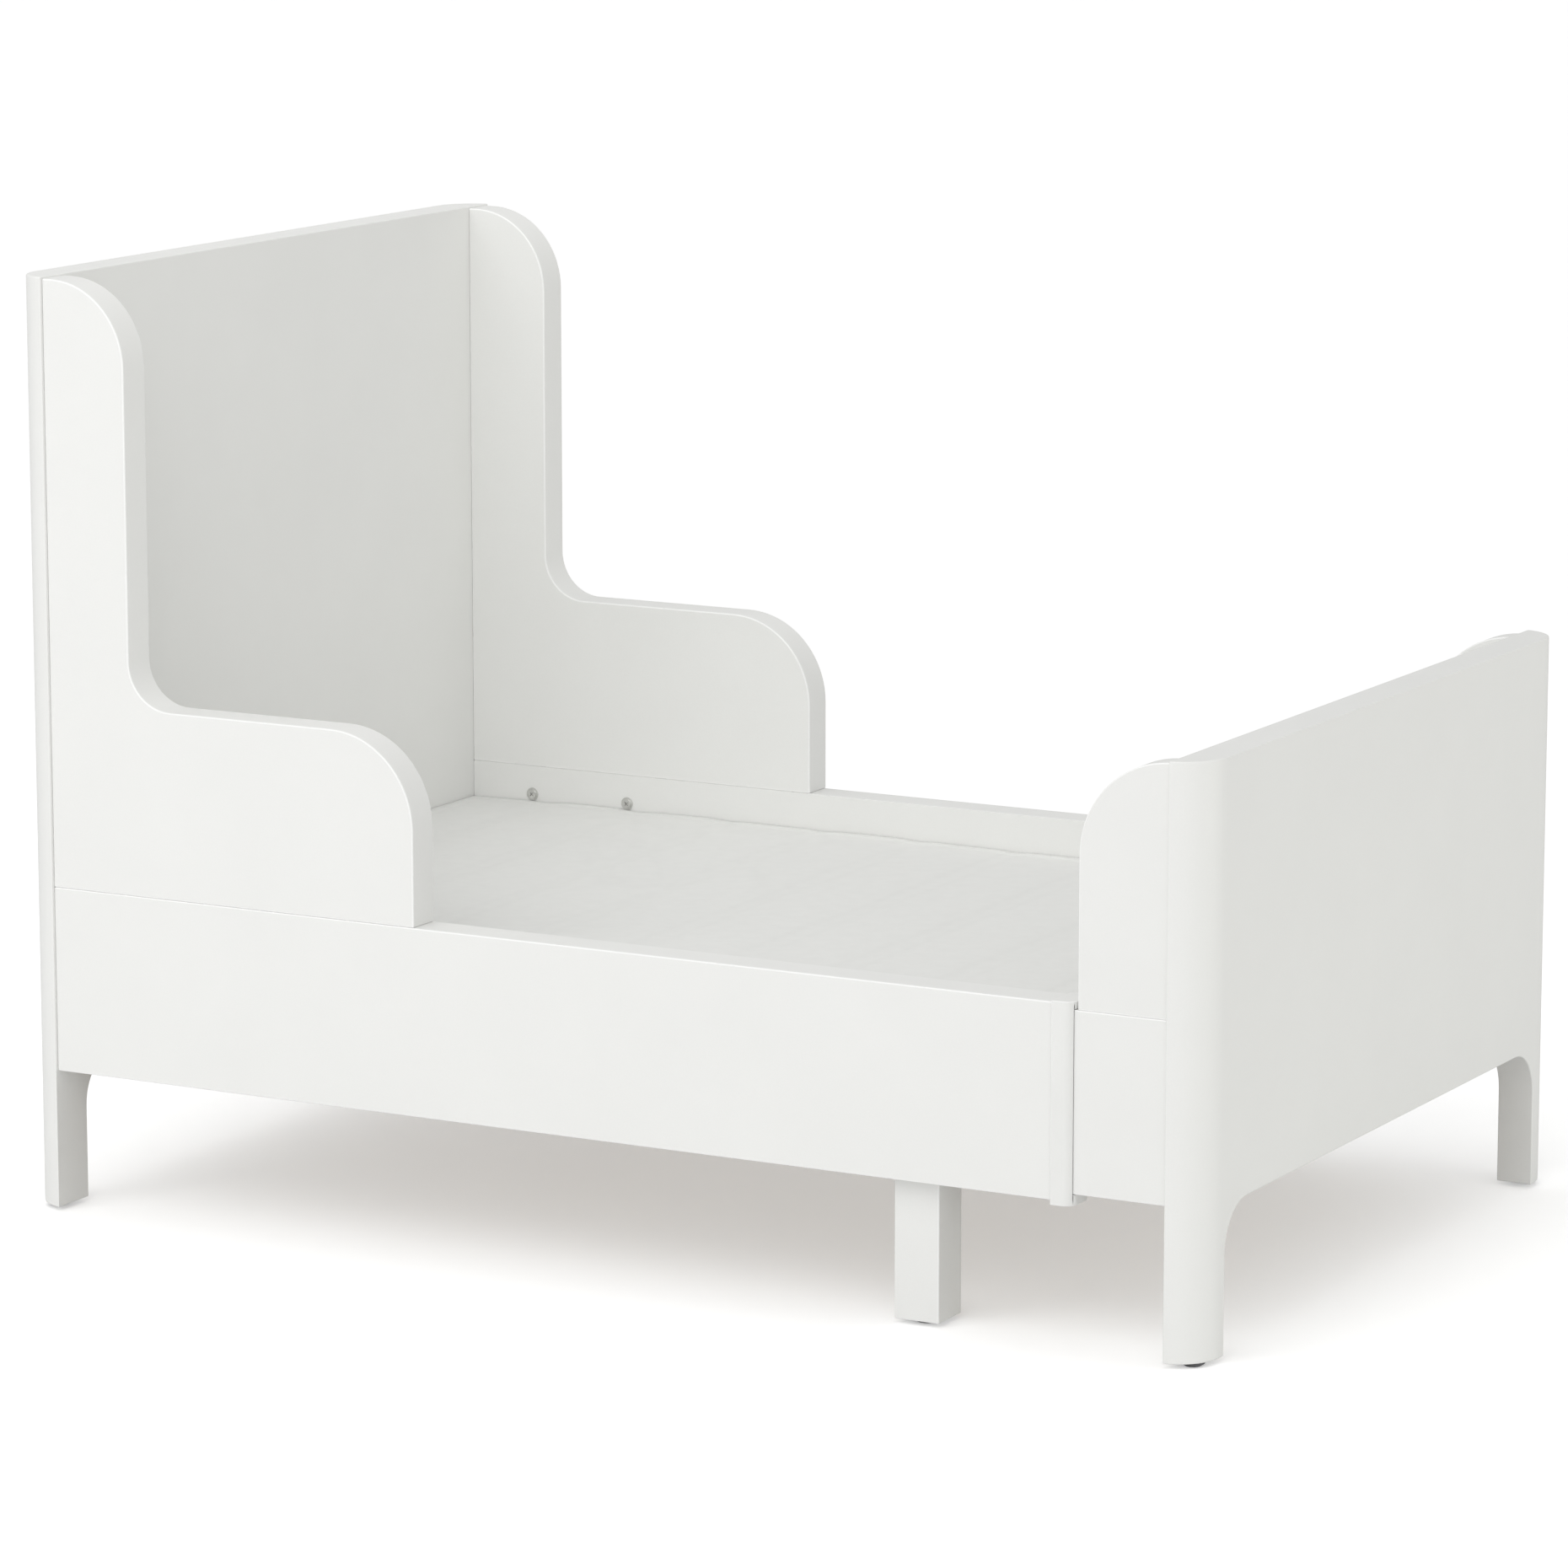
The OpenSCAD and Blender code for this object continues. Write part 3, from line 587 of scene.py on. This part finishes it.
class Cover:
    """A fabric cover stretched over slats, with a sewn hem round its edge."""

    def __init__(self, node, slats, sag, folds, lifts):
        self.low, self.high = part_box(node)
        self.spans = sorted((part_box(slat)[0].x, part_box(slat)[1].x) for slat in slats)
        self.rest = self.low.z + CLOTH_CLEAR + CLOTH_T / 2
        self.sag, self.folds, self.lifts = sag, folds, lifts

    def height(self, x, y):
        """Height of the middle of the cloth."""
        z = self.rest
        for (_, left), (right, _) in zip(self.spans, self.spans[1:]):
            if left < x < right:
                z -= self.sag * math.sin(math.pi * (x - left) / (right - left)) ** 2
        edge = min(x - self.low.x, self.high.x - x, y - self.low.y, self.high.y - y)
        broad = noise.noise(Vector((x * 4.0, y * 5.0, self.low.z * 40)))
        z += WAVE_LIFT * max(0.0, broad)
        pucker = noise.noise(Vector((x * 55.0, y * 55.0, 3.0)))
        z += PUCKER_LIFT * abs(pucker) * math.exp(-((edge - HEM_W) / PUCKER_REACH) ** 2)
        for (x0, y0), (x1, y1), lift, width in self.folds:
            run = Vector((x1 - x0, y1 - y0))
            at = Vector((x - x0, y - y0))
            share = at.dot(run) / run.length_squared
            if 0.0 < share < 1.0:
                aside = abs(at.x * run.y - at.y * run.x) / run.length
                z += lift * math.sin(math.pi * share) * math.exp(-(aside / width) ** 2)
        for at_x, at_y, lift, reach_x, reach_y in self.lifts:
            z += lift * math.exp(-((x - at_x) / reach_x) ** 2 - ((y - at_y) / reach_y) ** 2)
        return z

    def lines(self, low, high):
        """Grid lines from low to high, about CLOTH_STEP apart."""
        count = round((high - low) / CLOTH_STEP)
        return [low + (high - low) * i / count for i in range(count + 1)]

    def sheet(self, name, material):
        xs = self.lines(self.low.x, self.high.x)
        ys = self.lines(self.low.y, self.high.y)
        points = [(x, y, self.height(x, y)) for x in xs for y in ys]
        row = len(ys)
        faces = [
            (i * row + j, (i + 1) * row + j, (i + 1) * row + j + 1, i * row + j + 1)
            for i in range(len(xs) - 1)
            for j in range(row - 1)
        ]
        piece = make_piece(name, points, faces, material)
        thick = piece.modifiers.new("thickness", "SOLIDIFY")
        thick.thickness = CLOTH_T
        thick.offset = 0.0
        return piece

    def loop(self, inset, lift, step):
        """Points round the cover at a distance inside its edge, and lift above the cloth."""
        x0, x1 = self.low.x + inset, self.high.x - inset
        y0, y1 = self.low.y + inset, self.high.y - inset
        across = round((self.high.x - self.low.x) / step)
        up = round((self.high.y - self.low.y) / step)
        flat = [(x0 + (x1 - x0) * i / across, y0) for i in range(across)]
        flat += [(x1, y0 + (y1 - y0) * i / up) for i in range(up)]
        flat += [(x1 - (x1 - x0) * i / across, y1) for i in range(across)]
        flat += [(x0, y1 - (y1 - y0) * i / up) for i in range(up)]
        return [(x, y, self.height(x, y) + lift) for x, y in flat]

    def hem(self, name, material):
        """The turned-over edge: a flat band with rounded borders."""
        top = CLOTH_T / 2 + HEM_T
        profile = [
            (0.0, -CLOTH_T / 2),
            (-0.25 * MM, 0.0),
            (0.0, top - 0.3 * MM),
            (0.4 * MM, top),
            (HEM_W - 0.5 * MM, top),
            (HEM_W, top - 0.35 * MM),
            (HEM_W + 0.1 * MM, CLOTH_T / 2 - 0.1 * MM),
        ]
        rings = [self.loop(inset, lift, CLOTH_STEP) for inset, lift in profile]
        count = len(rings[0])
        points = [point for ring in rings for point in ring]
        faces = []
        for k in range(len(rings)):
            below, above = k * count, (k + 1) % len(rings) * count
            for i in range(count):
                after = (i + 1) % count
                faces.append((below + i, below + after, above + after, above + i))
        return make_piece(name, points, faces, material)

    def stitches(self, name, material):
        """Separate stitches of thread along the hem, each dipping into the cloth at its ends."""
        line = self.loop(STITCH_INSET, CLOTH_T / 2 + HEM_T, STITCH_PITCH)
        points, faces = [], []
        for here, there in zip(line, line[1:] + line[:1]):
            here, there = Vector(here), Vector(there)
            along = (there - here).normalized()
            aside = Vector((-along.y, along.x, 0.0)).normalized()
            upward = along.cross(aside)
            first = len(points)
            for k in range(STITCH_RINGS):
                share = k / (STITCH_RINGS - 1)
                centre = here + along * (STITCH_L * (share - 0.5))
                arch = math.sin(math.pi * share)
                centre += upward * STITCH_R * (1.2 * arch - 0.7)
                girth = STITCH_R * (0.55 + 0.45 * arch)
                for s in range(STITCH_SIDES):
                    turn = 2 * math.pi * s / STITCH_SIDES
                    spoke = aside * girth * math.cos(turn) + upward * girth * math.sin(turn)
                    points.append(centre + spoke)
            for k in range(STITCH_RINGS - 1):
                ring = first + k * STITCH_SIDES
                for s in range(STITCH_SIDES):
                    a, b = ring + s, ring + (s + 1) % STITCH_SIDES
                    faces.append((a, b, b + STITCH_SIDES, a + STITCH_SIDES))
            last = first + (STITCH_RINGS - 1) * STITCH_SIDES
            faces.append(tuple(first + s for s in reversed(range(STITCH_SIDES))))
            faces.append(tuple(last + s for s in range(STITCH_SIDES)))
        return make_piece(name, points, faces, material)


def make_cover(node, slats, sag, folds, lifts, fabric, sewing):
    """The cloth, hem and stitches that replace a base cover's plain CAD sheet."""
    cover = Cover(node, slats, sag, folds, lifts)
    base = node.replace("_base_cover", "_cover")
    sheet = cover.sheet(base + "_cloth", fabric)
    hem = cover.hem(base + "_hem", fabric)
    stitches = cover.stitches(base + "_stitches", sewing)
    for piece in (sheet, hem, stitches):
        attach(piece, BODY_OF_COVER[node])
    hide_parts(node)


def make_covers():
    """Both base covers; the head one has the photograph's diagonal folds and lifted far edge."""
    fabric = nonwoven("spunbond_fabric", FABRIC_WHITE)
    sewing = thread("white_thread", THREAD_WHITE)
    # Start, end, height and half width of each fold
    head_folds = [
        ((-0.455, 0.340), (-0.205, 0.000), 1.7 * MM, 10 * MM),
        ((-0.415, 0.320), (-0.195, 0.010), 1.5 * MM, 9 * MM),
        ((-0.372, 0.300), (-0.160, -0.010), 1.7 * MM, 11 * MM),
        ((-0.385, 0.200), (-0.225, -0.010), 1.1 * MM, 9 * MM),
        ((-0.215, 0.260), (-0.070, 0.070), 1.0 * MM, 9 * MM),
    ]
    far_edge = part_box("head_base_cover")[1].y
    # Place, height and reach along X and Y of each lift
    head_lifts = [
        (-0.500, far_edge, 2.6 * MM, 0.075, 0.045),
        (-0.345, far_edge, 2.4 * MM, 0.090, 0.060),
        (-0.130, far_edge, 1.8 * MM, 0.120, 0.060),
    ]
    head_slats = sorted(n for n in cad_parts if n.startswith("head_slat_"))
    foot_slats = sorted(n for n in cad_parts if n.startswith("foot_slat_"))
    make_cover("head_base_cover", head_slats, HEAD_SAG, head_folds, head_lifts, fabric, sewing)
    make_cover("foot_base_cover", foot_slats, FOOT_SAG, [], [], fabric, sewing)


# ---------------------------------------------------------------- the scene


make_camera()
light_studio()
make_floor()
dress_frame()
make_covers()
